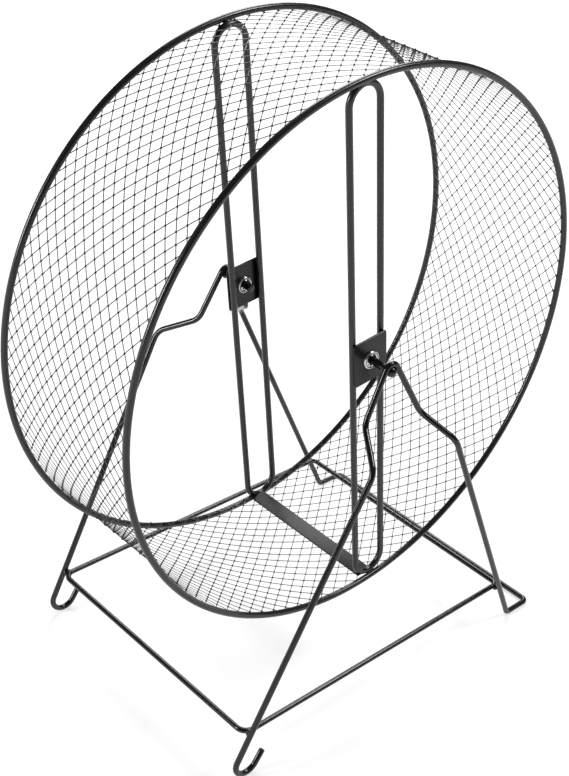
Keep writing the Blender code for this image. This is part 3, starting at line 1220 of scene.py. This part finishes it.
@dataclass
class Camera:
    """The photograph's viewpoint, aimed from the axle line."""

    azimuth: float = math.radians(-45.776)
    elevation: float = math.radians(33.740)
    roll: float = math.radians(4.924)
    distance: float = 0.689593
    across: float = 0.017963
    up: float = -0.061251
    focal: float = 1406.066
    middle: Pair = (341.132, 444.946)
    frame_size: Pair = (569.0, 776.0)
    sensor_width: float = 36.0
    clip: Pair = (0.01, 20.0)

    def build(self) -> bpy.types.Object:
        """Make the scene's camera.

        Returns:
            The camera.
        """
        back = direction(self.azimuth, self.elevation)
        level = Vector((math.cos(self.azimuth), math.sin(self.azimuth), 0))
        upright = back.cross(level)
        right = level * math.cos(self.roll) + upright * math.sin(self.roll)
        top = upright * math.cos(self.roll) - level * math.sin(self.roll)
        data = bpy.data.cameras.new("photo_camera")
        long_side = max(self.frame_size)
        data.sensor_width = self.sensor_width
        data.lens = self.focal / long_side * self.sensor_width
        data.shift_x = (self.frame_size[0] / 2 - self.middle[0]) / long_side
        data.shift_y = (self.middle[1] - self.frame_size[1] / 2) / long_side
        data.clip_start, data.clip_end = self.clip
        made = new_object("photo_camera", data)
        axes = Matrix((right, top, back)).transposed().to_4x4()
        place = AXLE_LINE + back * self.distance + right * self.across + top * self.up
        made.matrix_world = Matrix.Translation(place) @ axes
        bpy.context.scene.camera = made
        return made


@dataclass
class Lamp:
    """A soft box of the studio."""

    name: str
    azimuth: float
    elevation: float
    distance: float
    width: float
    height: float
    power: float

    def build(self) -> bpy.types.Object:
        """Make the lamp, aimed at the middle of the wheel.

        Returns:
            The lamp.
        """
        way = direction(math.radians(self.azimuth), math.radians(self.elevation))
        data = bpy.data.lights.new(self.name, "AREA")
        data.shape = "RECTANGLE"
        data.size = self.width
        data.size_y = self.height
        data.energy = self.power
        made = new_object(self.name, data)
        made.location = AXLE_LINE + way * self.distance
        made.rotation_euler = way.to_track_quat("Z", "Y").to_euler()
        return made


@dataclass
class Studio:
    """The pale floor, the world and the soft boxes."""

    floor_size: float = 4.0
    floor_colour: Triple = (0.5, 0.5, 0.5)
    floor_roughness: float = 0.9
    floor_specular: float = 0.1
    lit_radius: float = 0.5
    floor_glow: float = 0.67
    ambient: float = 0.25
    ceiling: float = 0.10
    backdrop_top: float = 0.16
    lamps: list[Lamp] = field(
        default_factory=lambda: [
            Lamp("key_soft_box", 58, 51, 1.6, 0.45, 0.45, 12),
            Lamp("left_soft_box", -110, 19, 1.6, 0.3, 0.5, 14),
            Lamp("far_soft_box", 140, 40, 1.7, 0.9, 0.9, 19),
        ]
    )

    def build_floor(self) -> bpy.types.Object:
        """Make the pale floor, which shows as white also past the lamps' reach and keeps the wheel's shadow.

        Returns:
            The floor.
        """
        half = self.floor_size / 2
        corners = [(-half, -half, 0), (half, -half, 0), (half, half, 0), (-half, half, 0)]
        mesh = bpy.data.meshes.new("studio_floor")
        mesh.from_pydata(corners, [], [(0, 1, 2, 3)])
        floor = new_object("studio_floor", mesh)
        paint = bpy.data.materials.new("studio_floor_paint")
        nodes = Nodes(paint)
        place = nodes.add("ShaderNodeTexCoord", "Object", {})
        distance = nodes.add("ShaderNodeVectorMath", "Value", {0: place}, operation="LENGTH")
        spread = nodes.remap(distance, (self.lit_radius, half), (self.floor_glow, 1.0))
        shown = {0: self.seen_rays(nodes), 1: spread}
        inputs = {
            "Base Color": (*self.floor_colour, 1),
            "Roughness": self.floor_roughness,
            "Specular IOR Level": self.floor_specular,
            "Emission Color": (1, 1, 1, 1),
            "Emission Strength": nodes.add("ShaderNodeMath", 0, shown, operation="MULTIPLY"),
        }
        nodes.close("Principled BSDF", inputs)
        floor.data.materials.append(paint)
        return floor

    def seen_rays(self, nodes: Nodes) -> Socket:
        """The value that is 1 for what the camera, a reflection or a clear piece shows, and 0 for light.

        Args:
            nodes: the material's or the world's nodes.

        Returns:
            The socket that gives it.
        """
        seen = nodes.add("ShaderNodeLightPath", "Is Camera Ray", {})
        for kind in ("Is Glossy Ray", "Is Transmission Ray"):
            ray = nodes.add("ShaderNodeLightPath", kind, {})
            seen = nodes.add("ShaderNodeMath", 0, {0: seen, 1: ray}, operation="MAXIMUM")
        return seen

    def build_world(self) -> bpy.types.World:
        """Make the world: a white backdrop all round under a dim ceiling, which the camera sees as white too.

        Returns:
            The world.
        """
        world = bpy.data.worlds.new("studio_world")
        nodes = Nodes(world)
        strength = nodes.remap(self.seen_rays(nodes), (0.0, 1.0), (self.ambient, 1.0))
        way = nodes.add("ShaderNodeTexCoord", "Generated", {})
        up = nodes.add("ShaderNodeSeparateXYZ", "Z", {"Vector": way})
        white = nodes.remap(up, (0.0, self.backdrop_top), (1.0, self.ceiling), "SMOOTHSTEP")
        seen = nodes.add("ShaderNodeLightPath", "Is Camera Ray", {})
        shown = nodes.add("ShaderNodeMath", 0, {0: white, 1: seen}, operation="MAXIMUM")
        nodes.close("Background", {"Strength": strength, "Color": shown})
        bpy.context.scene.world = world
        return world

    def build(self) -> None:
        """Make the floor, the world and the lamps."""
        self.build_floor()
        self.build_world()
        for lamp in self.lamps:
            lamp.build()


def main() -> None:
    """Build the studio and every sub-assembly, in order."""
    bpy.context.scene.view_settings.view_transform = "Standard"
    Camera().build()
    Studio().build()
    finishes = Finishes.make()
    drum = Drum(finishes)
    pieces = Stand(finishes).build() + drum.build()
    for side in Side:
        pieces += Hub(finishes, side).build(drum.rest_turn())
    pieces += RunningSurface(finishes).build()
    for piece in pieces:
        LOG.info("%s: %d faces", piece.name, len(piece.data.polygons))


if __name__ == "__main__":
    main()
